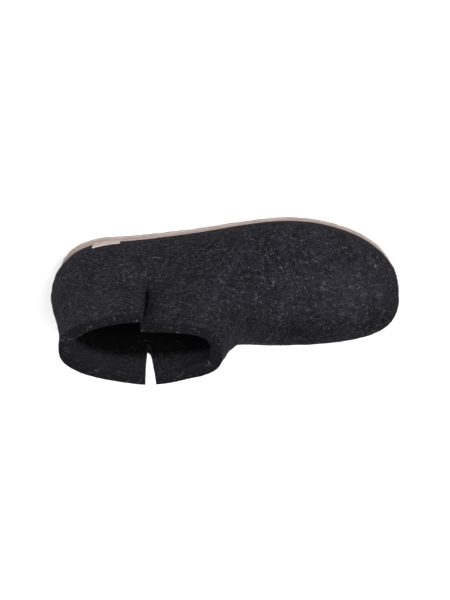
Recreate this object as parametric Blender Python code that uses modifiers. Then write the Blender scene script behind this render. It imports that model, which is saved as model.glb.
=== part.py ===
"""Left ankle-high slipper: a thick felt upper, slit at both ankles, on a thin leather sole.

Metres, +Z up. The toe points along +X and the outer side of the foot along +Y.
"""

from collections import namedtuple
from math import cos, pi, sin

import bmesh
import bpy
from mathutils import Vector

# Driving sizes
SOLE_LENGTH = 0.275
BALL_WIDTH = 0.104
INSTEP_HEIGHT = 0.066
COLLAR_HEIGHT = 0.122
COLLAR_FRONT_RISE = 0.003
COLLAR_LENGTH = 0.1275
COLLAR_OUTER_HALF = 0.0270
COLLAR_INNER_HALF = 0.0250
COLLAR_SETBACK = 0.0073
WALL = 0.0078
FRONT_WALL = 0.0098
BACK_WALL = 0.0125

TOE_BULGE = 0.0042
SIDE_BULGE = 0.0010
HEEL_BULGE = 0.0063
HEEL_LEDGE = 0.0014
FORE_LEDGE = 0.0003

OUTSOLE = 0.0028
MIDSOLE_FORE = 0.0024
MIDSOLE_HEEL = 0.0042
MIDSOLE_STEP = 0.0005
INSOLE = 0.0050
INSOLE_PLAY = 0.0006
OUTSOLE_ROUNDING = 0.0006
MIDSOLE_ROUNDING = 0.0005
INSOLE_ROUNDING = 0.0012
TOE_SPRING = 0.0055
HEEL_SPRING = 0.0010
ARCH_LIFT = 0.0015
SEAM_GAP = 0.0003

SLIT_DEPTH = 0.045
SLIT_FORWARD = 0.002
SLIT_GAP = 0.0006
LAP = 0.0016
LAP_CLEARANCE = 0.0004
FRONT_FLAP_TUCK = 0.0014
INNER_SLIT_OPENING = 0.0087
INNER_SLIT_FOOT = 0.0026
INNER_SLIT_REAR_SHARE = 0.15
INNER_FLAP_FLARE = 0.0035

TAG_LENGTH = 0.022
TAG_REAR_HEIGHT = 0.0125
TAG_FRONT_HEIGHT = 0.0068
TAG_THICKNESS = 0.0012
TAG_ROUNDING = 0.0003
TAG_FROM_HEEL = 0.029

# How finely the surfaces are divided
COLUMNS = 68
LOWER_RINGS = 18
SLIT_RINGS = 8
COLUMN_BIAS = 1.8

# The sole's edge, as shares of SOLE_LENGTH and BALL_WIDTH to either side of the long axis
Station = namedtuple("Station", "along lateral medial")
STATIONS = (
    Station(0.00, 0.350, 0.335),
    Station(0.16, 0.352, 0.330),
    Station(0.38, 0.416, 0.340),
    Station(0.55, 0.488, 0.388),
    Station(0.68, 0.524, 0.422),
    Station(0.84, 0.480, 0.425),
    Station(1.00, 0.440, 0.505),
)
HEEL_CAP_SHARE = 0.180
TOE_CAP_SHARE = 0.245
HEEL_FLAT = (0.06, 0.26)
BALL_FLAT = (0.60, 0.76)
ARCH_RAMP = 0.14
WEDGE_END = (0.20, 0.65)
HEEL_FULLNESS = (2.2, 2.2)
TOE_FULLNESS = (1.8, 2.6)
COLLAR_OUTER_FULLNESS = 3.0
COLLAR_INNER_FULLNESS = 2.7

# The felt from the sole up to the collar. The in columns are shares of the way from the foot's
# edge to the collar's edge. The up columns count 0 at the sole, 1 at the instep's height and 2 at
# the collar, and bulge is a share of the named bulges.
Ring = namedtuple("Ring", "front_in front_up side_in side_up back_in back_up bulge")
RINGS = (
    Ring(0.000, 0.00, 0.00, 0.00, 0.00, 0.00, 0.00),
    Ring(0.000, 0.03, 0.00, 0.03, 0.00, 0.03, 0.00),
    Ring(0.000, 0.12, 0.00, 0.11, 0.00, 0.13, 0.55),
    Ring(0.000, 0.25, 0.00, 0.24, 0.00, 0.28, 1.00),
    Ring(0.005, 0.40, 0.03, 0.38, 0.00, 0.50, 1.00),
    Ring(0.040, 0.52, 0.08, 0.52, 0.03, 0.72, 0.80),
    Ring(0.130, 0.62, 0.16, 0.64, 0.10, 0.93, 0.50),
    Ring(0.290, 0.69, 0.25, 0.75, 0.24, 1.14, 0.25),
    Ring(0.490, 0.77, 0.35, 0.87, 0.37, 1.26, 0.10),
    Ring(0.690, 0.89, 0.46, 1.00, 0.54, 1.37, 0.00),
    Ring(0.820, 1.07, 0.57, 1.15, 0.74, 1.48, 0.00),
    Ring(0.900, 1.29, 0.69, 1.34, 0.86, 1.60, 0.00),
    Ring(0.950, 1.60, 0.84, 1.60, 0.94, 1.76, 0.00),
    Ring(1.000, 2.00, 1.00, 2.00, 1.00, 2.00, 0.00),
)

# Powers that keep the front and back columns, the heel's bulge and the end walls to their ends
FRONT_REACH = 2.2
BACK_REACH = 3.0
HEEL_BULGE_REACH = 3.6
FRONT_WALL_REACH = 1.0
BACK_WALL_REACH = 3.0

# How far round the collar a slit's flaps lean, in turns, and the share of its height they need
FRONT_FLAP_REACH = 0.11
REAR_FLAP_REACH = 0.16
LEAN_FULL_AT = 0.50

FELT = ("felt", (0.025, 0.024, 0.031), 0.95)
LEATHER = ("suede leather", (0.45, 0.36, 0.32), 0.85)


def clamp(value, low=0.0, high=1.0):
    return max(low, min(high, value))


def ease(value):
    """0 to 1 with flat ends."""
    value = clamp(value)
    return value * value * (3 - 2 * value)


def through(rows, key, column):
    """A smooth curve through one column of a table, which never overshoots a row."""
    xs = [getattr(row, key) for row in rows]
    ys = [getattr(row, column) for row in rows]
    steps = [(ys[i + 1] - ys[i]) / (xs[i + 1] - xs[i]) for i in range(len(xs) - 1)]
    inner = [2 * a * b / (a + b) if a * b > 0 else 0.0 for a, b in zip(steps, steps[1:])]
    slopes = [steps[0], *inner, steps[-1]]

    def curve(x):
        x = clamp(x, xs[0], xs[-1])
        i = max(j for j in range(len(steps)) if xs[j] <= x)
        width = xs[i + 1] - xs[i]
        s = (x - xs[i]) / width
        return (
            ys[i] * (1 + 2 * s) * (1 - s) ** 2
            + ys[i + 1] * s * s * (3 - 2 * s)
            + width * s * (1 - s) * (slopes[i] * (1 - s) - slopes[i + 1] * s)
        )

    return curve


lateral_share = through(STATIONS, "along", "lateral")
medial_share = through(STATIONS, "along", "medial")

Level = namedtuple("Level", ("level", *Ring._fields))
LEVELS = [Level(i / (len(RINGS) - 1), *ring) for i, ring in enumerate(RINGS)]
profile = {name: through(LEVELS, "level", name) for name in Ring._fields}


def along_of(turn):
    """How far a turn of the outline lies from the heel, as a share: 0 turns is the toe tip."""
    return ((1 + cos(2 * pi * turn)) / 2) ** COLUMN_BIAS


def rounded_end(distance, reach, fullness):
    """The share of its full width that an outline has this far from its rounded end."""
    missing = 1 - clamp(distance / reach)
    return (1 - missing ** fullness[0]) ** (1 / fullness[1])


def edge(turn):
    """The sole's edge in plan. Turns run from the toe over the outer side to the heel."""
    along = along_of(turn)
    lateral = BALL_WIDTH * lateral_share(along)
    medial = -BALL_WIDTH * medial_share(along)
    ends = rounded_end(along, HEEL_CAP_SHARE, HEEL_FULLNESS)
    ends *= rounded_end(1 - along, TOE_CAP_SHARE, TOE_FULLNESS)
    half = (lateral - medial) / 2 * ends
    side = 1 if turn % 1 < 0.5 else -1
    return Vector((SOLE_LENGTH * along, (lateral + medial) / 2 + side * half))


def outline(turn, out=0.0):
    """The sole's edge moved outwards by a distance."""
    step = 0.002
    run = edge(turn + step) - edge(turn - step)
    return edge(turn) + Vector((run.y, -run.x)).normalized() * out


def collar(turn):
    """The collar's outer edge in plan, an oval that is blunter on the outer side of the foot."""
    outer_side = turn % 1 < 0.5
    fullness = COLLAR_OUTER_FULLNESS if outer_side else COLLAR_INNER_FULLNESS
    half = COLLAR_OUTER_HALF if outer_side else -COLLAR_INNER_HALF
    along, across = cos(2 * pi * turn), abs(sin(2 * pi * turn))
    reach = (abs(along) ** fullness + across ** fullness) ** (-1 / fullness)
    middle = COLLAR_SETBACK + COLLAR_LENGTH / 2 + SLIT_FORWARD * across * across
    return Vector((middle + reach * along * COLLAR_LENGTH / 2, reach * across * half))


def lift(x):
    """Height of the sole's underside: flat at heel and forefoot, raised at the ends and the arch."""
    along = x / SOLE_LENGTH
    toe = TOE_SPRING * clamp((along - BALL_FLAT[1]) / (1 - BALL_FLAT[1])) ** 2
    heel = HEEL_SPRING * clamp((HEEL_FLAT[0] - along) / HEEL_FLAT[0]) ** 2
    arch = ease((along - HEEL_FLAT[1]) / ARCH_RAMP) * ease((BALL_FLAT[0] - along) / ARCH_RAMP)
    return toe + heel + arch * ARCH_LIFT


def outsole_top(x):
    return lift(x) + OUTSOLE


def midsole_seat(x):
    return outsole_top(x) + SEAM_GAP


def midsole_top(x):
    forward = ease((x / SOLE_LENGTH - WEDGE_END[0]) / (WEDGE_END[1] - WEDGE_END[0]))
    return midsole_seat(x) + MIDSOLE_HEEL + (MIDSOLE_FORE - MIDSOLE_HEEL) * forward


def felt_seat(x):
    return midsole_top(x) + SEAM_GAP


def insole_top(x):
    return felt_seat(x) + INSOLE


def insole_edge(turn):
    return -(ledge(turn) + WALL + INSOLE_PLAY)


def ledge(turn):
    """How far the felt stands inside the sole's edge, where it meets the sole."""
    return HEEL_LEDGE + (FORE_LEDGE - HEEL_LEDGE) * ease(2 * along_of(turn))


def collar_top(turn):
    return COLLAR_HEIGHT + COLLAR_FRONT_RISE * cos(2 * pi * turn)


def height_of(up, seat, top):
    """Height for an up value of the table: below 1 towards the instep, above 1 towards the collar."""
    if up < 1:
        return seat + (INSTEP_HEIGHT - seat) * up
    return INSTEP_HEIGHT + (top - INSTEP_HEIGHT) * (up - 1)


def felt(level, turn):
    """A point of the felt's outer surface, from level 0 at the sole to level 1 at the collar."""
    forward = (1 + cos(2 * pi * turn)) / 2
    front = forward ** FRONT_REACH
    back = (1 - forward) ** BACK_REACH
    side = 1 - front - back

    def blend(kind):
        values = [profile[f"{where}_{kind}"](level) for where in ("front", "side", "back")]
        return front * values[0] + side * values[1] + back * values[2]

    heel = (1 - forward) ** HEEL_BULGE_REACH
    bulge = front * TOE_BULGE + (1 - front - heel) * SIDE_BULGE + heel * HEEL_BULGE
    foot = outline(turn, profile["bulge"](level) * bulge - ledge(turn))
    plan = foot.lerp(collar(turn), blend("in"))
    seat = felt_seat(foot.x)
    return Vector((plan.x, plan.y, height_of(blend("up"), seat, collar_top(turn))))


def search(rising, target, low, high):
    """Where a rising function reaches a target, by halving."""
    for _ in range(40):
        middle = (low + high) / 2
        if rising(middle) < target:
            low = middle
        else:
            high = middle
    return low


def level_at_height(height, turn):
    """The level at which a column of the felt reaches a height."""
    return search(lambda level: felt(level, turn).z, height, 0.0, 1.0)


def facing(level, turn):
    """The direction straight out of the felt."""
    step = 0.002
    up = felt(level + step, turn) - felt(max(level - step, 0), turn)
    round_foot = felt(level, turn + step) - felt(level, turn - step)
    return round_foot.cross(up).normalized()


# The turns of the two slits, and what the wall's vertex weights are shares of
OUTER_SLIT, INNER_SLIT = 0.25, 0.75
THICKEST_WALL = max(WALL, FRONT_WALL, BACK_WALL)


def near_slit(turn, slit, side):
    """1 at a slit, easing to 0 towards the toe (side 1) or the heel (side -1)."""
    return ease(1 - abs(turn - slit) / (FRONT_FLAP_REACH if side > 0 else REAR_FLAP_REACH))


def make_object(name, mesh, material):
    label, colour, roughness = material
    finish = bpy.data.materials.get(label) or bpy.data.materials.new(label)
    finish.use_nodes = True
    shader = finish.node_tree.nodes["Principled BSDF"]
    shader.inputs["Base Color"].default_value = (*colour, 1)
    shader.inputs["Roughness"].default_value = roughness
    mesh.materials.append(finish)
    made = bpy.data.objects.new(name, mesh)
    made.parent = centre
    shoe.objects.link(made)
    return made


def make_sole(name, out, underside, topside, material, rounding):
    """A layer with the sole's outline: its faces run straight across from edge to edge."""
    shape = bmesh.new()
    plan = [outline(i / COLUMNS, out(i / COLUMNS)) for i in range(COLUMNS)]
    low = [shape.verts.new((p.x, p.y, underside(p.x))) for p in plan]
    high = [shape.verts.new((p.x, p.y, topside(p.x))) for p in plan]
    for i in range(COLUMNS):
        after = (i + 1) % COLUMNS
        shape.faces.new((low[i], low[after], high[after], high[i]))
    for i in range(COLUMNS // 2):
        here, there = (-i) % COLUMNS, (-i - 1) % COLUMNS
        corners = dict.fromkeys((i, i + 1, there, here))
        shape.faces.new([high[c] for c in corners])
        shape.faces.new([low[c] for c in reversed(corners)])
    mesh = bpy.data.meshes.new(name)
    shape.to_mesh(mesh)
    shape.free()
    made = make_object(name, mesh, material)
    soften(made, rounding, 2)
    return made


def soften(thing, width, segments):
    bevel = thing.modifiers.new("soft edges", "BEVEL")
    bevel.width = width
    bevel.segments = segments
    bevel.limit_method = "ANGLE"
    bevel.angle_limit = 0.9


def make_upper():
    slit_level = level_at_height(COLLAR_HEIGHT - SLIT_DEPTH, OUTER_SLIT)
    levels = [slit_level * i / LOWER_RINGS for i in range(LOWER_RINGS)]
    levels += [slit_level + (1 - slit_level) * i / SLIT_RINGS for i in range(SLIT_RINGS + 1)]

    shape = bmesh.new()
    weights = shape.verts.layers.deform.verify()
    groups = ("wall", "leans outwards", "leans inwards")

    def parting(slit, side, rise):
        """How far a slit's rear (-1) or front (+1) edge moves along X from the slit's line."""
        if rise == 0:
            return 0.0
        if slit == OUTER_SLIT:
            crossing = ease((rise - LEAN_FULL_AT) / (1 - LEAN_FULL_AT))
            return side * (SLIT_GAP / 2 - crossing * (SLIT_GAP + LAP) / 2)
        opening = INNER_SLIT_FOOT + (INNER_SLIT_OPENING - INNER_SLIT_FOOT) * rise
        return opening * (1 - INNER_SLIT_REAR_SHARE if side > 0 else -INNER_SLIT_REAR_SHARE)

    def leaning(slit, side, rise):
        """How far a flap leans along Y."""
        full = ease(rise / LEAN_FULL_AT)
        if slit == INNER_SLIT:
            return -INNER_FLAP_FLARE * full
        if side > 0:
            return -FRONT_FLAP_TUCK * full
        return (WALL + LAP_CLEARANCE - FRONT_FLAP_TUCK) * full

    def vertex(level, turn, side):
        slit = OUTER_SLIT if turn < 0.5 else INNER_SLIT
        rise = clamp((level - slit_level) / (1 - slit_level))
        near = near_slit(turn, slit, side)
        point = felt(level, turn)
        shift = parting(slit, side, rise) * near
        made = shape.verts.new((point.x + shift, point.y, point.z))
        lean = leaning(slit, side, rise) * near
        end_wall, end_reach = (FRONT_WALL, FRONT_WALL_REACH) if side > 0 else (BACK_WALL, BACK_WALL_REACH)
        ends = abs(cos(2 * pi * turn)) ** end_reach * ease(level)
        made[weights][0] = (WALL + (end_wall - WALL) * ends) / THICKEST_WALL
        made[weights][1] = max(lean, 0) / WALL
        made[weights][2] = max(-lean, 0) / WALL
        return made

    slit_columns = {round(OUTER_SLIT * COLUMNS): -1, round(INNER_SLIT * COLUMNS): 1}
    rings = []
    for level in levels:
        before, after = [], []
        for i in range(COLUMNS):
            turn = i / COLUMNS
            # The side of the slit that the column lies on: turns grow towards the heel
            # along the outer side, and towards the toe along the inner side.
            side = 1 if turn < OUTER_SLIT or turn > INNER_SLIT else -1
            if i in slit_columns and level > slit_level:
                first = vertex(level, turn, -slit_columns[i])
                second = vertex(level, turn, slit_columns[i])
                before.append(first)
                after.append(second)
            else:
                only = vertex(level, turn, side)
                before.append(only)
                after.append(only)
        rings.append((before, after))
    for (low_to, low_from), (high_to, high_from) in zip(rings, rings[1:]):
        for i in range(COLUMNS):
            j = (i + 1) % COLUMNS
            shape.faces.new((low_from[i], low_to[j], high_to[j], high_from[i]))

    mesh = bpy.data.meshes.new("upper")
    shape.to_mesh(mesh)
    shape.free()
    upper = make_object("upper", mesh, FELT)
    for group in groups:
        upper.vertex_groups.new(name=group)
    wall = upper.modifiers.new("felt wall", "SOLIDIFY")
    wall.thickness = THICKEST_WALL
    wall.offset = -1
    wall.vertex_group = "wall"
    for group, strength in (("leans outwards", WALL), ("leans inwards", -WALL)):
        lean = upper.modifiers.new(group, "DISPLACE")
        lean.direction = "Y"
        lean.mid_level = 0
        lean.strength = strength
        lean.vertex_group = group
    return upper


def turn_at(x):
    """The turn at which the outer side of the foot's edge passes a place along the foot."""
    return search(lambda turn: -outline(turn).x, -x, 0.05, 0.45)


def make_side_tag():
    """A leather tab lying on the felt just above the sole."""
    across, up = 10, 4
    turns = (turn_at(TAG_FROM_HEEL), turn_at(TAG_FROM_HEEL + TAG_LENGTH))
    shape = bmesh.new()
    rows = []
    for i in range(across + 1):
        share = i / across
        turn = turns[0] + (turns[1] - turns[0]) * share
        foot = felt(0, turn).z + SEAM_GAP
        height = TAG_REAR_HEIGHT + (TAG_FRONT_HEIGHT - TAG_REAR_HEIGHT) * share
        row = []
        for k in range(up + 1):
            level = level_at_height(foot + height * k / up, turn)
            row.append(shape.verts.new(felt(level, turn) + facing(level, turn) * SEAM_GAP))
        rows.append(row)
    for here, after in zip(rows, rows[1:]):
        for k in range(up):
            shape.faces.new((here[k], here[k + 1], after[k + 1], after[k]))
    mesh = bpy.data.meshes.new("side_tag")
    shape.to_mesh(mesh)
    shape.free()
    tag = make_object("side_tag", mesh, LEATHER)
    body = tag.modifiers.new("leather", "SOLIDIFY")
    body.thickness = TAG_THICKNESS
    body.offset = 1
    soften(tag, TAG_ROUNDING, 1)
    return tag


for old in list(bpy.data.objects):
    bpy.data.objects.remove(old)
shoe = bpy.data.collections.new("felt slipper")
bpy.context.scene.collection.children.link(shoe)

centre = bpy.data.objects.new("slipper_centre", None)
shoe.objects.link(centre)

make_upper()
make_side_tag()
make_sole("outsole", lambda turn: 0.0, lift, outsole_top, LEATHER, OUTSOLE_ROUNDING)
make_sole("midsole", lambda turn: -MIDSOLE_STEP, midsole_seat, midsole_top, LEATHER, MIDSOLE_ROUNDING)
make_sole("insole", insole_edge, felt_seat, insole_top, FELT, INSOLE_ROUNDING)

# The origin is the middle of the slipper's bounding box, on the floor.
bpy.context.view_layer.update()
corners = [Vector(corner) for part in shoe.objects if part.type == "MESH" for corner in part.bound_box]
for axis in range(2):
    values = [corner[axis] for corner in corners]
    centre.location[axis] = -(min(values) + max(values)) / 2
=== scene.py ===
# %% [markdown]
# # An ankle-high slipper of thick grey felt
#
# The real slipper is felted from grey wool in one piece, cut open at the collar and at both
# ankles, and set on a thin suede sole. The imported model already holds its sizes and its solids.
# This script dresses those solids: it softens the felt, gives it its loose fibres, finishes the
# layers of the sole, and lights the slipper as it was photographed, upside down and from above.

from math import pi, radians

import bmesh
import bpy
import numpy as np
from mathutils import Matrix, Vector, noise


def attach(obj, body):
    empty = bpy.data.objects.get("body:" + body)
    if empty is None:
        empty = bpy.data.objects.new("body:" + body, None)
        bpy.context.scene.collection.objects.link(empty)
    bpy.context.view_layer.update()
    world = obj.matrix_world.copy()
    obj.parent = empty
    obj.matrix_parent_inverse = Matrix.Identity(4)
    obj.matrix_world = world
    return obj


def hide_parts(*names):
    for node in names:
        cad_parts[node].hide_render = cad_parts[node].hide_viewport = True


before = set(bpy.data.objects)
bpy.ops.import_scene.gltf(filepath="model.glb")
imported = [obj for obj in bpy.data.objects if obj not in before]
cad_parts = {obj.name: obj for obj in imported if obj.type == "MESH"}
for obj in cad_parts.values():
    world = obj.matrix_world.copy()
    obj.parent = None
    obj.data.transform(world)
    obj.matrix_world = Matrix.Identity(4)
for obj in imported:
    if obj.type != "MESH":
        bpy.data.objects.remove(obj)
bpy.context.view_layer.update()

# %% [markdown]
# ## Writing node trees as sums
#
# A material or a Geometry Nodes tree is a set of boxes joined by wires. Clicking them together is
# fine once, but a script is easier to read when a sum looks like a sum. So one small class wraps
# an output socket and turns +, -, * and / into Math nodes, and one method adds any other node: its
# type first, then its settings, then the values or wires of its inputs. A second class holds the
# steps that both kinds of tree use, and a third adds what only a material has.


# %% A socket that can be used in sums
class Wire:
    def __init__(self, tree, socket):
        self.tree = tree
        self.socket = socket

    def math(self, operation, first, second=None):
        values = {0: first} if second is None else {0: first, 1: second}
        return self.tree.node("ShaderNodeMath", {"operation": operation}, values)

    def __add__(self, other):
        return self.math("ADD", self, other)

    def __radd__(self, other):
        return self.math("ADD", other, self)

    def __sub__(self, other):
        return self.math("SUBTRACT", self, other)

    def __rsub__(self, other):
        return self.math("SUBTRACT", other, self)

    def __mul__(self, other):
        return self.math("MULTIPLY", self, other)

    def __rmul__(self, other):
        return self.math("MULTIPLY", other, self)

    def __truediv__(self, other):
        return self.math("DIVIDE", self, other)

    def __rtruediv__(self, other):
        return self.math("DIVIDE", other, self)

    def __abs__(self):
        return self.math("ABSOLUTE", self)

    def output(self, name):
        """Another output of the same node."""
        return Wire(self.tree, self.socket.node.outputs[name])


# %% A tree that nodes are added to
class Tree:
    def __init__(self, tree):
        self.tree = tree

    def node(self, kind, settings=None, values=None, output=0):
        made = self.tree.nodes.new(kind)
        for name, setting in (settings or {}).items():
            setattr(made, name, setting)
        for name, value in (values or {}).items():
            self.feed(made.inputs[name], value)
        return Wire(self, made.outputs[output])

    def feed(self, socket, value):
        if isinstance(value, Wire):
            self.tree.links.new(value.socket, socket)
        else:
            socket.default_value = value

    def vector(self, operation, first, second):
        return self.node("ShaderNodeVectorMath", {"operation": operation}, {0: first, 1: second})

    def between(self, value, low, high):
        """0 below low and 1 above high, with a soft step from one to the other."""
        return self.node(
            "ShaderNodeMapRange", {"interpolation_type": "SMOOTHSTEP"}, {0: value, 1: low, 2: high}
        )

    def mix(self, factor, first, second):
        """From the first colour to the second as the factor goes from 0 to 1."""
        return self.node(
            "ShaderNodeMix", {"data_type": "RGBA"}, {0: factor, 6: first, 7: second}, output=2
        )

    def clouds(self, place, size, detail=0.0, output=0):
        """Soft noise around 0.5, whose lumps are about a size in metres across."""
        values = {"Vector": place, "Scale": 1 / size, "Detail": detail}
        return self.node("ShaderNodeTexNoise", values=values, output=output)


# %% A material
class Finish(Tree):
    def __init__(self, name):
        self.material = bpy.data.materials.new(name)
        self.material.use_nodes = True
        super().__init__(self.material.node_tree)
        self.shader = self.tree.nodes["Principled BSDF"]
        self.place = self.node("ShaderNodeTexCoord", output="Object")

    def set(self, **values):
        """Sets or wires sockets of the shader: Base_Color stands for Base Color."""
        for name, value in values.items():
            self.feed(self.shader.inputs[name.replace("_", " ")], value)

    def bump(self, height, distance, strength=1.0):
        values = {"Strength": strength, "Distance": distance, "Height": height}
        self.set(Normal=self.node("ShaderNodeBump", values=values))


# %% [markdown]
# ## The felt upper, as a clean mesh
#
# The felt is one thick sheet with a real wall. A CAD node's mesh is a soup of loose triangles, and
# subdividing those leaves a rash of small bumps. The upper was made of rows and columns of four
# cornered faces, each split along the same diagonal. So the diagonals can be found again: round
# every ordinary point of such a lattice the three directions of edge come in turn, and the
# direction with the longest edges is the diagonal. Taking those edges out gives the faces back.


# %% Take the diagonals out of a copy of a node
SHARP = radians(50)


SAME_POINT = 2e-6


def merged_copy(node):
    """A node's mesh to work on, whose loose triangles share their points."""
    shape = bmesh.new()
    shape.from_mesh(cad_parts[node].data)
    bmesh.ops.remove_doubles(shape, verts=shape.verts, dist=SAME_POINT)
    return shape


def is_sharp(edge):
    return edge.calc_face_angle(0) > SHARP


def is_ordinary(point):
    """A point inside the lattice, away from its sharp borders."""
    return len(point.link_edges) == 6 and not any(is_sharp(edge) for edge in point.link_edges)


def edges_round(point):
    """The edges that meet at a point, in turn."""
    loop = point.link_loops[0]
    found = []
    for _ in point.link_edges:
        found.append(loop.edge)
        loop = loop.link_loop_prev.link_loop_radial_next
    return found


def directions_from(start):
    """Every edge of the lattice that holds the start, with its direction as 0, 1 or 2."""
    found = {start: 0}
    waiting = [start]
    while waiting:
        edge = waiting.pop()
        for point in filter(is_ordinary, edge.verts):
            ring = edges_round(point)
            here = ring.index(edge)
            for step in range(1, 6):
                other = ring[(here + step) % 6]
                if other not in found:
                    found[other] = (found[edge] + step) % 3
                    waiting.append(other)
    return found


def join_pairs(shape):
    """Joins loose triangles in pairs, but never across a sharp edge."""
    for edge in shape.edges:
        edge.smooth = not is_sharp(edge)
    bmesh.ops.join_triangles(
        shape,
        faces=shape.faces,
        cmp_sharp=True,
        angle_face_threshold=pi,
        angle_shape_threshold=pi,
    )


def join_to_quads(shape):
    """In every stretch of lattice, dissolves the direction whose edges are the longest."""
    seen, diagonals = set(), []
    for edge in shape.edges:
        if edge in seen or not any(map(is_ordinary, edge.verts)):
            continue
        lattice = directions_from(edge)
        seen.update(lattice)
        ways = [[one for one, way in lattice.items() if way == i] for i in range(3)]
        diagonals += max(ways, key=lambda way: np.mean([one.calc_length() for one in way]))
    bmesh.ops.dissolve_edges(shape, edges=diagonals, use_verts=False)
    join_pairs(shape)


felt_shape = merged_copy("upper")
join_to_quads(felt_shape)
corners = [len(face.verts) for face in felt_shape.faces]
print("the felt has", corners.count(4), "faces of four corners and", corners.count(3), "of three")

# %% [markdown]
# ## Skin and cut edge
#
# Thick felt shows two things: the skin, inside and out, and the bare cut along the collar and
# the slits, which is darker because one looks into the ends of the fibres. The sharp edges of the
# solid part the two, so a walk over the faces that never crosses a sharp edge, begun at the toe,
# finds all of the outer skin.

# %% Sort the faces
SKIN, LINING, CUT = 0, 1, 2
NOT_A_TOP = 0.6


def faces_reached(start):
    """Every face that a walk from the start reaches without crossing a sharp edge."""
    found, waiting = {start}, [start]
    while waiting:
        for edge in waiting.pop().edges:
            if len(edge.link_faces) == 2 and edge.calc_face_angle() < SHARP:
                for face in edge.link_faces:
                    if face not in found:
                        found.add(face)
                        waiting.append(face)
    return found


part_of_felt = felt_shape.faces.layers.int.new("part_of_felt")
toe_most = max(felt_shape.faces, key=lambda face: face.calc_center_median().x)
outer_skin = faces_reached(toe_most)
inner_start = max(
    (face for face in felt_shape.faces if face not in outer_skin and abs(face.normal.z) < NOT_A_TOP),
    key=lambda face: face.calc_center_median().x,
)
inner_skin = faces_reached(inner_start)
for face in felt_shape.faces:
    face[part_of_felt] = SKIN if face in outer_skin else LINING if face in inner_skin else CUT
print("skin", len(outer_skin), "lining", len(inner_skin))

# %% [markdown]
# ## Soft cut edges and a fine surface
#
# A knife leaves felt with edges that are neither sharp nor round. A bevel two faces wide does
# that, and it also holds the shape when Subdivision Surface rounds everything else.

# %% Bevel and subdivide
EDGE_SOFTNESS = 0.0011
sharp = [edge for edge in felt_shape.edges if len(edge.link_faces) == 2 and is_sharp(edge)]
bmesh.ops.bevel(
    felt_shape,
    geom=sharp,
    offset=EDGE_SOFTNESS,
    segments=2,
    profile=0.5,
    affect="EDGES",
    clamp_overlap=True,
)


def mesh_object(name, shape):
    mesh = bpy.data.meshes.new(name)
    shape.to_mesh(mesh)
    shape.free()
    made = bpy.data.objects.new(name, mesh)
    bpy.context.scene.collection.objects.link(made)
    return made


def finished(thing, name):
    """A plain mesh of what an object's modifiers make of it, in the object's stead."""
    graph = bpy.context.evaluated_depsgraph_get()
    mesh = bpy.data.meshes.new_from_object(thing.evaluated_get(graph))
    old = thing.data
    thing.modifiers.clear()
    thing.data = mesh
    thing.name = name
    bpy.data.meshes.remove(old)
    mesh.name = name
    mesh.polygons.foreach_set("use_smooth", [True] * len(mesh.polygons))
    return thing


def subdivided(thing, levels):
    rounder = thing.modifiers.new("rounder", "SUBSURF")
    rounder.levels = levels
    rounder.render_levels = levels
    return finished(thing, thing.name)


def triangles(thing):
    thing.data.calc_loop_triangles()
    return len(thing.data.loop_triangles)


boot = subdivided(mesh_object("felt_boot", felt_shape), 2)
print("the felt boot has", triangles(boot), "triangles")

# %% [markdown]
# ## What the felt's finish has to know
#
# The finish is darker on the cut edge. The lining has painted light near the collar and painted
# shade deep in the shaft, and where the felt meets the leather it has painted shade reddened by
# painted light reflected from the leather. Each point of the mesh stores three facts as attributes,
# which a material can read by name: how much it is cut edge, how much it is lining, and how far it
# is above the sole.

# %% Store them on the points
count = len(boot.data.vertices)
points = np.empty(count * 3)
boot.data.vertices.foreach_get("co", points)
points = points.reshape(-1, 3)

parts = np.empty(len(boot.data.polygons), int)
boot.data.attributes["part_of_felt"].data.foreach_get("value", parts)
corner_point = np.empty(len(boot.data.loops), int)
boot.data.loops.foreach_get("vertex_index", corner_point)
face_sizes = np.array([face.loop_total for face in boot.data.polygons])
corner_part = np.repeat(parts, face_sizes)
uses = np.bincount(corner_point, minlength=count)


def share_of(part):
    """The share of the faces round each point that belong to a part."""
    return np.bincount(corner_point, corner_part == part, minlength=count) / uses


FACES_UP = 0.9


def height_along(node, side):
    """A node's height along the foot: of its topside for side 1, of its underside for side -1."""
    shape = merged_copy(node)
    flat = {point for face in shape.faces if face.normal.z * side > FACES_UP for point in face.verts}
    row = np.array(sorted((point.co.x, point.co.z) for point in flat))
    shape.free()
    return lambda x: np.interp(x, row[:, 0], row[:, 1])


sole_height = height_along("midsole", 1)
cut_share = share_of(CUT)
lining_share = share_of(LINING)
above_sole = points[:, 2] - sole_height(points[:, 0])


def store(thing, name, values):
    layer = thing.data.attributes.new(name, "FLOAT", "POINT")
    layer.data.foreach_set("value", values.astype(np.float32))


store(boot, "cut_edge", cut_share)
store(boot, "lining", lining_share)
store(boot, "above_sole", above_sole)
print("the sole's top lies at", sole_height(-0.1), "under the heel and", sole_height(0.06), "at the ball")

# %% [markdown]
# ## The slits open
#
# Cut felt doesn't stay shut. Beside each slit the corners lean along the foot, and beside the inner
# one they also flare out from it, more so the higher they are. The points round the slit's line are
# moved by a smooth bell of their distance from it, so the rest of the collar stays where it was.

# %% Lean and flare the corners
SLIT_X = -0.062
LEANS = (
    # side, height where nothing moves, forward and outward move per metre above it, reach
    # The inner slit, which leans forward and flares
    (-1, 0.086, 0.07, 0.045, 0.016),
    # The outer slit, which leans back
    (1, 0.092, -0.035, 0.0, 0.020),
)
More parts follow.
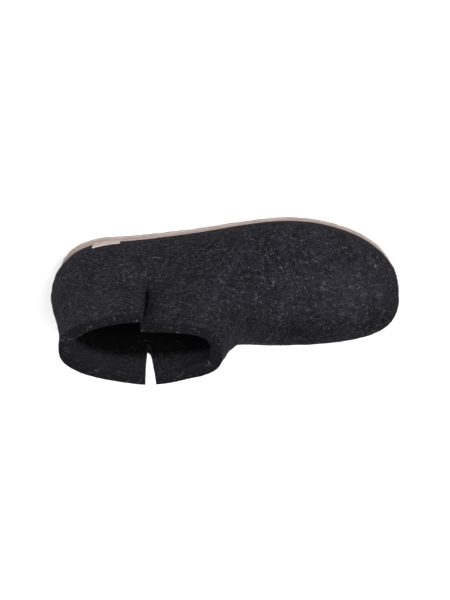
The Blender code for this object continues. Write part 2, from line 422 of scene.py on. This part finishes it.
# Below that height they lean the other way, as if no more than this far down
LEAN_DOWN_TO = -0.014
unmoved = points.copy()
for side, still, forward, outward, reach in LEANS:
    near = np.exp(-(((points[:, 0] - SLIT_X) / reach) ** 2)) * (points[:, 1] * side > 0)
    above_still = near * np.clip(points[:, 2] - still, LEAN_DOWN_TO, 1)
    points[:, 0] += forward * above_still
    points[:, 1] += side * outward * np.maximum(above_still, 0)
boot.data.vertices.foreach_set("co", points.ravel())
boot.data.update()
print("the slits' corners move by up to", round(1000 * np.abs(points - unmoved).max(), 2), "mm")

# %% [markdown]
# ## Creases and hollows
#
# Wet felt is shaped over a last, so it keeps soft dents and swells where it was pulled. Cloth
# simulation can't give those, as thick felt holds its own shape. Each one is written as a path
# over the slipper with a width and a depth, and the skin is moved in or out by a smooth bell round
# that path. The ends of a path fade out. A narrow deep path beside the outer slit is the dark line
# where the rear flap lies over the front one, and further on its depth is painted dark as shade.

# %% The paths, in millimetres from the middle of the slipper
CREASES = (
    # depth, which is below 0 for a swell, then width and points
    # A dent across the bend from shaft to foot, with a swell above it
    (1.3, 5.0, ((10, -22, 74), (17, -17, 72), (22, -8, 72), (23, 2, 73))),
    (-0.8, 8.0, ((4, -24, 84), (10, -16, 85), (13, -4, 86))),
    # The outer slit: its hollow, the dark line in it, and the lip of the rear flap
    (0.9, 7.0, ((-59, 28, 74), (-58.5, 25, 86), (-58, 23, 98), (-57.5, 22, 112), (-57, 22, 170))),
    (2.0, 1.2, ((-61, 28, 71), (-61.6, 24.5, 84), (-62.3, 22.6, 95), (-63, 21.6, 108), (-66, 20, 190))),
    (-0.6, 4.5, ((-66, 31, 76), (-66, 30.5, 90), (-66.5, 30, 104), (-67, 29, 150))),
    # Swells that fill the two corners of the toe
    (-1.0, 8.0, ((128, 20, 15), (135, 12, 15), (140, 2, 15))),
    (-1.6, 10.0, ((122, -35, 28), (131, -29, 28), (138, -18, 27), (141, -8, 26))),
    # Dents under the outer slit, over the back of the heel and along its inner side
    (0.8, 7.0, ((-62, 33, 76), (-50, 34, 74), (-38, 33, 77))),
    (1.0, 8.0, ((-128, -12, 70), (-131, 0, 68), (-128, 14, 70))),
    (0.7, 6.0, ((-112, -30, 46), (-88, -35, 50), (-62, -35, 46))),
    # A swell over the outer toes, and dents along the inner and the outer side of the foot
    (-0.7, 12.0, ((52, 22, 56), (72, 16, 52), (92, 8, 46))),
    (0.7, 10.0, ((40, -26, 54), (64, -30, 47), (88, -28, 42))),
    (0.6, 9.0, ((-30, 36, 40), (-4, 38, 36), (22, 42, 34))),
)


# %% How far each point is moved
FAR_AWAY = 9.0


def bell_round(path, width):
    """1 on the path, falling to 0 a few widths away, and at the path's own two ends."""
    path = np.array(path) / 1000
    best = np.full(count, FAR_AWAY)
    along = np.zeros(count)
    spans = len(path) - 1
    for i in range(spans):
        start, run = path[i], path[i + 1] - path[i]
        share = np.clip((points - start) @ run / (run @ run), 0, 1)
        away = np.linalg.norm(points - start - share[:, None] * run, axis=1)
        nearer = away < best
        best[nearer] = away[nearer]
        along[nearer] = (i + share[nearer]) / spans
    ends = np.sin(pi * np.clip(along, 0.02, 0.98)) ** 0.6
    return np.exp(-((best / (width / 1000)) ** 2)) * ends


push = np.zeros(count)
for depth, width, path in CREASES:
    push -= depth / 1000 * bell_round(path, width)
push *= 1 - lining_share
print("the creases reach", round(-1000 * push.min(), 2), "mm in and", round(1000 * push.max(), 2), "mm out")

# %% [markdown]
# ## Painted shade and light on the wool
#
# The dents are painted darker as shade, the deeper the darker. A few stretches of the foot get
# painted shade as well, the front flap beside the outer slit gets the painted shadow of the rear
# flap, and the top of the toe gets painted light. The same bells give each point its painted
# light and shade: above 0 it is darker, and below 0 it is paler.

# %% Painted light and shade for each point
FULLY_DARK = 0.0025
PAINTED_LIGHT_AND_SHADE_PATCHES = (
    # darker by, width, points
    # Painted shade below the outer ankle and along the inner side of the foot, the painted shadow of
    # the rear flap beside the outer slit, painted shade on the inner toe, and painted light on its top
    (0.28, 24.0, ((-54, 34, 66), (-30, 34, 64), (-6, 34, 60))),
    (0.32, 20.0, ((4, -24, 60), (50, -32, 46), (98, -32, 36))),
    (0.26, 9.0, ((-54, 30, 66), (-53, 25, 86), (-53, 22.5, 106), (-52, 22, 160))),
    (0.42, 14.0, ((66, -30, 50), (98, -29, 43), (122, -22, 39), (142, -6, 33))),
    (-0.60, 26.0, ((74, 12, 46), (104, 10, 40), (138, 3, 26))),
)
# The dents are painted darker as shade, fully so at this depth
painted_light_and_shade = np.clip(-push / FULLY_DARK, 0, 1)
for darker, width, path in PAINTED_LIGHT_AND_SHADE_PATCHES:
    painted_light_and_shade += darker * bell_round(path, width) * (1 - lining_share)
store(boot, "painted_light_and_shade", painted_light_and_shade)
print("the tone runs from", round(painted_light_and_shade.min(), 2), "to", round(painted_light_and_shade.max(), 2))

# %% [markdown]
# ## Lumps
#
# Hand-felted wool is never even: there are broad swells, and small knots of wool that mat first.
# Just above the seam the felt was pulled over the leather, so its lower edge wavers more.
# Blender's noise functions give all of these. They take no seed and always answer the same, so
# every run of the script makes the same slipper. Nothing moves where the felt stands on the sole,
# so that it neither lifts nor sinks in.

# %% Move the skin
SWELLS = ((0.034, 0.0006), (0.013, 0.00034), (0.0048, 0.00017))
WAVER_SIZE, WAVER, WAVER_REACH = 0.0075, 0.0018, 0.012
STILL_BELOW = 0.004


def lumps(size):
    """Noise between about -1 and 1 at each point, whose lumps are a size across."""
    return np.array([noise.noise(Vector(point) / size) for point in points])


for size, height in SWELLS:
    push += height * lumps(size)
push += WAVER * lumps(WAVER_SIZE) * np.exp(-above_sole / WAVER_REACH) * (1 - lining_share)
push *= np.clip(above_sole / STILL_BELOW, 0, 1)

normals = np.empty(count * 3)
boot.data.vertex_normals.foreach_get("vector", normals)
boot.data.vertices.foreach_set("co", (points + normals.reshape(-1, 3) * push[:, None]).ravel())
boot.data.update()
print("with the lumps the skin moves by", round(1000 * np.abs(push).mean(), 2), "mm on average")

# %% [markdown]
# ## The felt's finish
#
# Grey felt is a blend: charcoal wool with pale and black fibres carded in. Seen close it is a
# tangle of short curling strands. A strand is drawn where a cloud of noise passes through its
# middle value, which happens along thin winding lines, and a second cloud breaks the lines into
# short lengths. A few layers of this, each with its own place and size, make the tangle. The
# clouds are squeezed a little in height, because on the shaft the fibres run round the ankle.
# Deep in the shaft the lining is painted dark as shade, so the tangle fades there, and near the
# collar it is painted paler as light.

# %% The colours of the wool
CHARCOAL = (0.0070, 0.0065, 0.0086, 1)
SLATE = (0.0182, 0.0170, 0.0224, 1)
PALE_WOOL = (0.104, 0.100, 0.122, 1)
WHITE_HAIR = (0.24, 0.24, 0.26, 1)
CUT_FELT = (0.0060, 0.0058, 0.0080, 1)
# Painted shade at the seam, reddened by painted light reflected from the leather
SEAM_SHADE_WITH_REFLECTION = (0.048, 0.0230, 0.0190, 1)
# Near black, for painted shade
PAINTED_SHADE = (0.0009, 0.0009, 0.0012, 1)


# %% The tangle of strands
def strands(finish, place, shift, size, width, broken):
    """Thin winding lines, broken into lengths: 1 on a line, 0 off it."""
    moved = finish.vector("ADD", place, shift)
    line = 1 - abs(finish.clouds(moved, size) - 0.5) / width
    gaps = finish.clouds(finish.vector("ADD", moved, (0.31, 0.17, 0.23)), size * 1.6)
    return finish.between(line, 0, 0.8) * finish.between(gaps, broken, broken + 0.1)


def bent_place(finish):
    """Object coordinates, squeezed in height and swirled, so that no strand runs straight."""
    squeezed = finish.vector("MULTIPLY", finish.place, (1, 1, 1.45))
    swirl = finish.clouds(finish.place, 0.015, output="Color")
    bend = finish.vector("SUBTRACT", swirl, (0.5, 0.5, 0.5))
    return finish.vector("ADD", squeezed, finish.vector("MULTIPLY", bend, (0.008, 0.008, 0.008)))


# %% What the points stored, as wires
def stored(finish, name):
    return finish.node("ShaderNodeAttribute", {"attribute_name": name}, output="Fac")


# %% Lay the colours over each other
# The lining gets painted shade below the first height and painted light above the second
LINING_SHADED_BELOW, LINING_LIT_ABOVE = 0.085, 0.102
SEAM_SHADE_UP_TO = 0.010


def felt_finish(name):
    felt = Finish(name)
    bent = bent_place(felt)

    # Each layer of strands: where it lies, its size, the width of its lines, and how broken it is
    fine = strands(felt, bent, (0.0, 0.0, 0.0), 0.0023, 0.045, 0.47)
    curly = strands(felt, bent, (0.7, 0.2, 0.4), 0.0016, 0.055, 0.50)
    dark = strands(felt, bent, (0.3, 0.9, 0.1), 0.0024, 0.070, 0.46)
    bright = strands(felt, bent, (0.5, 0.6, 0.8), 0.0034, 0.024, 0.60)

    # Knots of matted wool, and broad patches
    matted = felt.between(felt.clouds(bent, 0.0042, 3), 0.36, 0.64)
    patchy = felt.between(felt.clouds(felt.place, 0.022, 2), 0.36, 0.64)
    cut = stored(felt, "cut_edge")
    lining = stored(felt, "lining")

    # The blend of wools, with the dark ends of the fibres on the cut edge
    wool = felt.mix(matted * 0.6 + patchy * 0.4, CHARCOAL, SLATE)
    wool = felt.mix(dark * 0.85, wool, CUT_FELT)
    wool = felt.mix(felt.between(cut, 0.1, 0.8) * 0.9, wool, CUT_FELT)
    wool = felt.mix(fine * (0.55 - cut * 0.42), wool, PALE_WOOL)
    wool = felt.mix(curly * (0.45 - cut * 0.35), wool, PALE_WOOL)
    wool = felt.mix(bright * 0.4, wool, WHITE_HAIR)

    # The lining, with painted light near the collar and painted shade below
    height = felt.node("ShaderNodeSeparateXYZ", values={0: felt.place}, output=2)
    painted_light_at_collar = felt.between(height, LINING_SHADED_BELOW, LINING_LIT_ABOVE)
    wool = felt.mix(lining * painted_light_at_collar * 0.12, wool, PALE_WOOL)
    wool = felt.mix(lining * (1 - painted_light_at_collar) * 0.96, wool, PAINTED_SHADE)

    # Painted shade at the seam with a painted leather reflection, and the painted light and shade
    near_sole = (1 - felt.between(stored(felt, "above_sole"), 0, SEAM_SHADE_UP_TO)) * (1 - lining)
    wool = felt.mix(near_sole * near_sole * 0.7, wool, SEAM_SHADE_WITH_REFLECTION)
    wool = felt.mix(stored(felt, "painted_light_and_shade") * 0.9, wool, PAINTED_SHADE)
    wool = felt.mix(stored(felt, "painted_light_and_shade") * -0.09, wool, PALE_WOOL)

    felt.bump(matted * 0.5 + fine + curly * 0.8 - dark * 0.6, 0.00035, 0.8)
    felt.set(Base_Color=wool, Roughness=0.96, Sheen_Weight=0.015, Sheen_Roughness=0.4)
    felt.set(Specular_IOR_Level=0.03, Sheen_Tint=(0.75, 0.75, 0.82, 1))
    return felt.material


# %% Put it on the boot
grey_felt = felt_finish("grey felt")
boot.data.materials.clear()
boot.data.materials.append(grey_felt)
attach(boot, "root")
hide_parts("upper")
print("the grey felt has", len(grey_felt.node_tree.nodes), "nodes")

# %% [markdown]
# ## Loose fibres
#
# What makes felt look like felt at its outline is the down of loose fibres. Each is a short
# curved hair, and thousands of them follow the surface, so this is work for Geometry Nodes:
# scatter points over the skin, put a bent curve on each, turn it about the surface's normal,
# ruffle all the curves with noise, and give them a thin three-sided body.


# %% A tree of nodes with named inputs
class Growth(Tree):
    """A Geometry Nodes tree that takes a mesh and named sizes, and gives geometry back."""

    def __init__(self, name, inputs):
        super().__init__(bpy.data.node_groups.new(name, "GeometryNodeTree"))
        self.tree.interface.new_socket("Geometry", in_out="INPUT", socket_type="NodeSocketGeometry")
        for label, kind in inputs.items():
            self.tree.interface.new_socket(label, in_out="INPUT", socket_type="NodeSocket" + kind)
        self.tree.interface.new_socket("Geometry", in_out="OUTPUT", socket_type="NodeSocketGeometry")
        self.inputs = self.node("NodeGroupInput")

    def given(self, label):
        return self.inputs.output(label)

    def give(self, geometry):
        self.feed(self.tree.nodes.new("NodeGroupOutput").inputs[0], geometry)

    def stored(self, name):
        return self.node("GeometryNodeInputNamedAttribute", {"data_type": "FLOAT"}, {"Name": name})

    def chance(self, low, high, seed):
        """A random number between two for each point."""
        values = {2: low, 3: high, "ID": self.node("GeometryNodeInputIndex"), "Seed": seed}
        return self.node("FunctionNodeRandomValue", {"data_type": "FLOAT"}, values, output=1)


# %% Grow a tree on a piece
def grown(name, source, growth, values):
    """A plain mesh of what a tree grows on a source object."""
    bed = bpy.data.objects.new(name, source.data)
    bpy.context.scene.collection.objects.link(bed)
    modifier = bed.modifiers.new(name, "NODES")
    modifier.node_group = growth.tree
    for item in growth.tree.interface.items_tree:
        if item.in_out == "INPUT" and item.name in values:
            modifier[item.identifier] = values[item.name]
    graph = bpy.context.evaluated_depsgraph_get()
    mesh = bpy.data.meshes.new_from_object(bed.evaluated_get(graph))
    bpy.data.objects.remove(bed)
    mesh.name = name
    made = bpy.data.objects.new(name, mesh)
    bpy.context.scene.collection.objects.link(made)
    return made


# %% Where fibres stand
def scattered_points(tree):
    """Points on the felt: few deep in the shaft, none at the seam, and a share of their own on cuts."""
    cut, lining, above = tree.stored("cut_edge"), tree.stored("lining"), tree.stored("above_sole")
    height = tree.node("ShaderNodeSeparateXYZ", values={0: tree.node("GeometryNodeInputPosition")}, output=2)
    seen = 1 - lining * tree.between(height, 0.105, 0.060)
    share = cut * tree.given("On cut edge") + (1 - cut) * tree.given("On skin")
    density = tree.given("Fibres per square metre") * share * seen * tree.between(above, 0.001, 0.004)
    values = {"Mesh": tree.given("Geometry"), "Density": density, "Seed": tree.given("Seed")}
    return tree.node(
        "GeometryNodeDistributePointsOnFaces", {"distribute_method": "RANDOM"}, values, output="Points"
    )


# %% One hair
ROOT_DEPTH, TIP_DEPTH = 0.0003, 0.0002


def bent_hair(tree):
    """A curve along X whose two ends go into the felt, and whose middle is bent aside and lifted."""
    half = tree.given("Length") / 2
    start = tree.node("ShaderNodeCombineXYZ", values={0: 0 - half, 2: -ROOT_DEPTH})
    middle = tree.node("ShaderNodeCombineXYZ", values={1: half * 0.5, 2: tree.given("Lift") * 2})
    end = tree.node("ShaderNodeCombineXYZ", values={0: half, 2: -TIP_DEPTH})
    values = {"Resolution": 3, "Start": start, "Middle": middle, "End": end}
    return tree.node("GeometryNodeCurveQuadraticBezier", values=values)


# %% A hair on each point, turned and sized by chance
def hairs_on(tree, scattered, hair):
    turn = tree.node("ShaderNodeCombineXYZ", values={2: tree.chance(0.0, 2 * pi, tree.given("Seed"))})
    facing = tree.node(
        "FunctionNodeRotateRotation",
        {"rotation_space": "LOCAL"},
        {0: scattered.output("Rotation"), 1: tree.node("FunctionNodeEulerToRotation", values={0: turn})},
    )
    size = tree.chance(0.45, 1.35, 5)
    values = {"Points": scattered, "Instance": hair, "Rotation": facing, "Scale": size}
    hairs = tree.node("GeometryNodeInstanceOnPoints", values=values)
    return tree.node("GeometryNodeRealizeInstances", values={0: hairs})


# %% Ruffle the hairs, and give them a body
RUFFLES_PER_METRE = 380.0


def with_bodies(tree, hairs):
    values = {
        "Vector": tree.node("GeometryNodeInputPosition"),
        "Scale": RUFFLES_PER_METRE,
        "Detail": 1.0,
    }
    ruffle = tree.node("ShaderNodeTexNoise", values=values, output="Color")
    centred = tree.vector("SUBTRACT", ruffle, (0.5, 0.5, 0.5))
    values = {0: centred, "Scale": tree.given("Ruffle")}
    offset = tree.node("ShaderNodeVectorMath", {"operation": "SCALE"}, values)
    ruffled = tree.node("GeometryNodeSetPosition", values={"Geometry": hairs, "Offset": offset})
    values = {"Resolution": 3, "Radius": tree.given("Thickness") / 2}
    section = tree.node("GeometryNodeCurvePrimitiveCircle", {"mode": "RADIUS"}, values)
    values = {"Curve": ruffled, "Profile Curve": section, "Fill Caps": True}
    return tree.node("GeometryNodeCurveToMesh", values=values)


# %% The whole tree
FIBRE_INPUTS = {
    "Fibres per square metre": "Float",
    "Length": "Float",
    "Thickness": "Float",
    "Lift": "Float",
    "Ruffle": "Float",
    "On skin": "Float",
    "On cut edge": "Float",
    "Seed": "Int",
    "Finish": "Material",
}


def fibre_tree():
    tree = Growth("fibres", FIBRE_INPUTS)
    bodies = with_bodies(tree, hairs_on(tree, scattered_points(tree), bent_hair(tree)))
    real = tree.node("GeometryNodeRealizeInstances", values={0: bodies})
    values = {"Geometry": real, "Material": tree.given("Finish")}
    tree.give(tree.node("GeometryNodeSetMaterial", values=values))
    return tree


fibres = fibre_tree()
print("the fibre tree has", len(fibres.tree.nodes), "nodes")

# %% [markdown]
# ## Two coats of fibres
#
# The down lies nearly flat on the skin. Along the cut edges the fibres are shorter and stand up,
# as the knife freed their ends. Their finish is a pale wool that varies from hair to hair, which
# a fine cloud of noise gives without any data on the hairs themselves.


# %% What the loose fibres look like
DARK_FIBRE, PALE_FIBRE = (0.012, 0.012, 0.016, 1), (0.085, 0.085, 0.098, 1)


def fibre_finish():
    wool = Finish("loose wool")
    shade = wool.between(wool.clouds(wool.place, 0.004, 1), 0.35, 0.65)
    colour = wool.mix(shade, DARK_FIBRE, PALE_FIBRE)
    wool.set(Base_Color=colour, Roughness=0.8, Specular_IOR_Level=0.05)
    return wool.material


loose_wool = fibre_finish()
print("the loose wool has", len(loose_wool.node_tree.nodes), "nodes")

# %% Grow both coats
COATS = {
    "felt_down": {
        "Fibres per square metre": 60000.0,
        "Length": 0.0042,
        "Thickness": 0.00009,
        "Lift": 0.00045,
        "Ruffle": 0.0016,
        "On skin": 1.0,
        "On cut edge": 0.1,
        "Seed": 3,
    },
    "edge_hairs": {
        "Fibres per square metre": 60000.0,
        "Length": 0.0026,
        "Thickness": 0.00009,
        "Lift": 0.00085,
        "Ruffle": 0.0012,
        "On skin": 0.06,
        "On cut edge": 0.6,
        "Seed": 8,
    },
}
for name, values in COATS.items():
    coat = grown(name, boot, fibres, {**values, "Finish": loose_wool})
    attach(coat, "root")
    print(name, "has", triangles(coat), "triangles")

# %% [markdown]
# ## The layers of the sole
#
# Outsole, midsole and insole are flat sheets with one outline, cut by hand. Each CAD layer has
# straight facets round its edge. A smooth layer is rebuilt from it: the outline is read from its
# upright side, made finer with a closed curve, and a cross-section is swept round it. The first
# rings run from the middle of the underside outwards, the next follow the rounded edge, and the
# last run inwards over the top. A knife never goes quite evenly, so the edge strays a little.


# %% Read a layer's outline
FACES_SIDEWAYS = 0.1
CLOSEST = 0.0005


def corners_of(node):
    """The corners round the edge of a layer, in turn, seen from above."""
    shape = merged_copy(node)
    side = [face for face in shape.faces if abs(face.normal.z) < FACES_SIDEWAYS]
    upright = {point for face in side for point in face.verts}
    ring = np.array(sorted({(round(point.co.x, 6), round(point.co.y, 6)) for point in upright}))
    shape.free()
    middle = (ring.min(0) + ring.max(0)) / 2
    around = np.arctan2(ring[:, 1] - middle[1], ring[:, 0] - middle[0])
    ring = ring[np.argsort(around)]
    return ring[np.linalg.norm(ring - np.roll(ring, 1, axis=0), axis=1) > CLOSEST]


def smooth_outline(node, finer):
    """A closed curve through all the corners, with a number of points for each of them."""
    ring = corners_of(node)
    finer_ring = []

    # From corner b to corner c, each step lies on the cubic that passes smoothly through both
    for i in range(len(ring)):
        a, b, c, d = (ring[(i + k) % len(ring)] for k in (-1, 0, 1, 2))
        for s in np.arange(finer) / finer:
            straight = 2 * b + (c - a) * s + (2 * a - 5 * b + 4 * c - d) * s**2
            finer_ring.append((straight + (3 * b - a - 3 * c + d) * s**3) / 2)
    return np.array(finer_ring)


def moved_in(ring, distance):
    """The ring, moved inwards by a distance at every point."""
    run = np.roll(ring, -1, axis=0) - np.roll(ring, 1, axis=0)
    inwards = np.stack([-run[:, 1], run[:, 0]], axis=1)
    return ring + inwards / np.linalg.norm(inwards, axis=1)[:, None] * distance


# %% Sweep the cross-section round it
KNIFE_WANDERS_OVER = 0.006
KNIFE_REACH = 0.002
INNER_RINGS = (0.002, 0.005, 0.010, 0.016)


def layer(name, node, rounding, ragged):
    """A smooth sheet in the place of a CAD layer. Ragged is how unevenly the knife went."""
    ring = smooth_outline(node, 4)
    low, high = height_along(node, -1), height_along(node, 1)
    bends = [(1 - np.cos(turn), 1 - np.sin(turn)) for turn in np.linspace(0, pi / 2, 5)]
    bends = [(rounding * out, rounding * up) for out, up in bends]
    shape = bmesh.new()

    def row(distance, height_at):
        made = []
        for x, y in moved_in(ring, distance):
            edge_share = max(0, 1 - distance / KNIFE_REACH)
            cut = noise.noise(Vector((x, y, 0)) / KNIFE_WANDERS_OVER) * ragged * edge_share
            out = Vector((x, y)).normalized() * cut
            made.append(shape.verts.new((x + out.x, y + out.y, height_at(x))))
        return made

    rows = [row(inwards, low) for inwards in reversed(INNER_RINGS)]
    rows += [row(inwards, lambda x, up=up: low(x) + up) for inwards, up in reversed(bends)]
    rows += [row(inwards, lambda x, up=up: high(x) - up) for inwards, up in bends]
    rows += [row(inwards, high) for inwards in INNER_RINGS]
    for here, after in zip(rows, rows[1:]):
        for i in range(len(ring)):
            j = (i + 1) % len(ring)
            shape.faces.new((here[i], here[j], after[j], after[i]))
    shape.faces.new(list(reversed(rows[0])))
    shape.faces.new(rows[-1])
    bmesh.ops.triangulate(shape, faces=[face for face in shape.faces if len(face.verts) > 4])
    made = mesh_object(name, shape)
    made.data.polygons.foreach_set("use_smooth", [True] * len(made.data.polygons))
    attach(made, "root")
    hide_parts(node)
    return made


outsole = layer("suede_outsole", "outsole", 0.0006, 0.0006)
midsole = layer("leather_midsole", "midsole", 0.0005, 0.0004)
footbed = layer("felt_footbed", "insole", 0.0012, 0.0003)
print("sole layers:", triangles(outsole), triangles(midsole), triangles(footbed), "triangles")

# %% [markdown]
# ## Suede and leather
#
# Both are beige with a pink cast. Suede has no skin, so it is all fine nap: noise at half a
# millimetre, with broader patches where the nap lies another way, and small dark pits where dirt
# sits. The outsole is greyer from the floor, and the cut edge of the midsole is browner.


# %% One finish for all the leathers
def leather_finish(name, pale, deep, nap, rough):
    """Nap is the size of the fine grain. The patches and the pits are multiples of it."""
    leather = Finish(name)
    fine = leather.clouds(leather.place, nap, 3)
    broad = leather.between(leather.clouds(leather.place, nap * 14, 2), 0.35, 0.65)
    pits = leather.between(leather.clouds(leather.place, nap * 4, 2), 0.58, 0.70)
    colour = leather.mix(fine * 0.6 + broad * 0.4, deep, pale)
    colour = leather.mix(pits * 0.35, colour, tuple(0.55 * c for c in deep[:3]) + (1,))
    leather.bump(fine + pits * -0.8, 0.0002, 0.6)
    leather.set(Base_Color=colour, Roughness=rough, Specular_IOR_Level=0.25)
    return leather.material


def dress(piece, material):
    piece.data.materials.clear()
    piece.data.materials.append(material)


SUEDE_PALE, SUEDE_DEEP = (0.475, 0.405, 0.375, 1), (0.33, 0.278, 0.257, 1)
EDGE_PALE, EDGE_DEEP = (0.43, 0.345, 0.312, 1), (0.31, 0.24, 0.216, 1)
suede = leather_finish("sole suede", SUEDE_PALE, SUEDE_DEEP, 0.0006, 0.92)
edge_leather = leather_finish("edge leather", EDGE_PALE, EDGE_DEEP, 0.0008, 0.8)
dress(outsole, suede)
dress(midsole, edge_leather)
print("the leathers have", len(suede.node_tree.nodes), "nodes each")


# %% The footbed is felt too
def footbed_finish():
    felt = Finish("footbed felt")
    matted = felt.between(felt.clouds(felt.place, 0.004, 3), 0.36, 0.64)
    curls = strands(felt, felt.place, (0.2, 0.4, 0.1), 0.003, 0.04, 0.5)
    colour = felt.mix(matted, CHARCOAL, SLATE)
    felt.bump(matted + curls, 0.0003, 0.8)
    felt.set(Base_Color=felt.mix(curls * 0.5, colour, PALE_WOOL), Roughness=0.96)
    felt.set(Specular_IOR_Level=0.03)
    return felt.material


footbed_felt = footbed_finish()
dress(footbed, footbed_felt)
print("the footbed's felt has", len(footbed_felt.node_tree.nodes), "nodes")

# %% [markdown]
# ## The tab at the seam
#
# A small fold of pale leather lies on the felt at the outer heel, caught in the seam of the
# sole. It is bare. The CAD tab already has the right shape, so a copy is only subdivided, which
# rounds it.

# %% Make it
tab_shape = merged_copy("side_tag")
join_pairs(tab_shape)
tab = subdivided(mesh_object("leather_tab", tab_shape), 1)
TAB_PALE, TAB_DEEP = (0.54, 0.44, 0.40, 1), (0.43, 0.34, 0.305, 1)
tab_leather = leather_finish("tab leather", TAB_PALE, TAB_DEEP, 0.0005, 0.7)
dress(tab, tab_leather)
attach(tab, "root")
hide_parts("side_tag")
print("the tab has", triangles(tab), "triangles")

# %% [markdown]
# ## Floor, light and camera
#
# The slipper was photographed on white under very even light. Two broad soft lamps stand on
# either side of the camera, the stronger one towards the toe, a weak one stands behind the
# slipper, and a pale sky fills the rest. The white paper glows a little, as on a light table, so
# that the shadows stay faint. The camera looks down at 60 degrees from the outer side of the foot,
# from far away and through a long lens, and it is held upside down, which puts the heel on the
# left and the sole on top.

# %% Floor
PAPER_DULL, PAPER_BRIGHT = (0.86, 0.86, 0.86, 1), (0.88, 0.88, 0.88, 1)
floor_shape = bmesh.new()
bmesh.ops.create_grid(floor_shape, x_segments=4, y_segments=4, size=8)
floor = mesh_object("floor", floor_shape)
paper = Finish("white paper")
grain = paper.clouds(paper.place, 0.05, 2)
paper.set(Base_Color=paper.mix(grain, PAPER_DULL, PAPER_BRIGHT), Roughness=0.9)
paper.set(Specular_IOR_Level=0.1, Emission_Color=(1, 1, 1, 1), Emission_Strength=0.12)
floor.data.materials.append(paper.material)
print("the floor has", len(floor.data.polygons), "faces")

# %% Light
scene = bpy.context.scene
scene.view_settings.view_transform = "Standard"
LIT = Vector((0, 0, 0.05))


def lamp(name, place, size, watts):
    """A round soft lamp that points at the slipper."""
    made = bpy.data.objects.new(name, bpy.data.lights.new(name, "AREA"))
    made.data.shape = "DISK"
    made.data.size = size
    made.data.energy = watts
    made.location = place
    made.rotation_euler = (Vector(place) - LIT).to_track_quat("Z", "Y").to_euler()
    scene.collection.objects.link(made)


lamp("key", (0.70, 0.75, 1.95), 1.3, 43)
lamp("fill", (-0.70, 0.65, 1.95), 1.5, 31)
lamp("behind", (0, -1.5, 1.1), 1.2, 12)
sky = bpy.data.worlds.new("pale sky")
scene.world = sky
sky.use_nodes = True
sky.node_tree.nodes["Background"].inputs["Color"].default_value = (0.95, 0.97, 1.0, 1)
sky.node_tree.nodes["Background"].inputs["Strength"].default_value = 0.10

# %% Camera
AIM = Vector((-0.00044, 0.00532, 0.05943))
TOWARDS_CAMERA = Vector((0, 0.5, 3**0.5 / 2))
PICTURE_UP = Vector((0, 3**0.5 / 2, -0.5))
DISTANCE = 1.5
camera = bpy.data.objects.new("camera", bpy.data.cameras.new("camera"))
camera.data.sensor_fit = "HORIZONTAL"
camera.data.sensor_width = 36
camera.data.lens = 150
axes = Matrix((PICTURE_UP.cross(TOWARDS_CAMERA), PICTURE_UP, TOWARDS_CAMERA)).transposed()
camera.matrix_world = Matrix.Translation(AIM + TOWARDS_CAMERA * DISTANCE) @ axes.to_4x4()
scene.collection.objects.link(camera)
scene.camera = camera
print("the camera stands at", tuple(round(value, 3) for value in camera.matrix_world.translation))
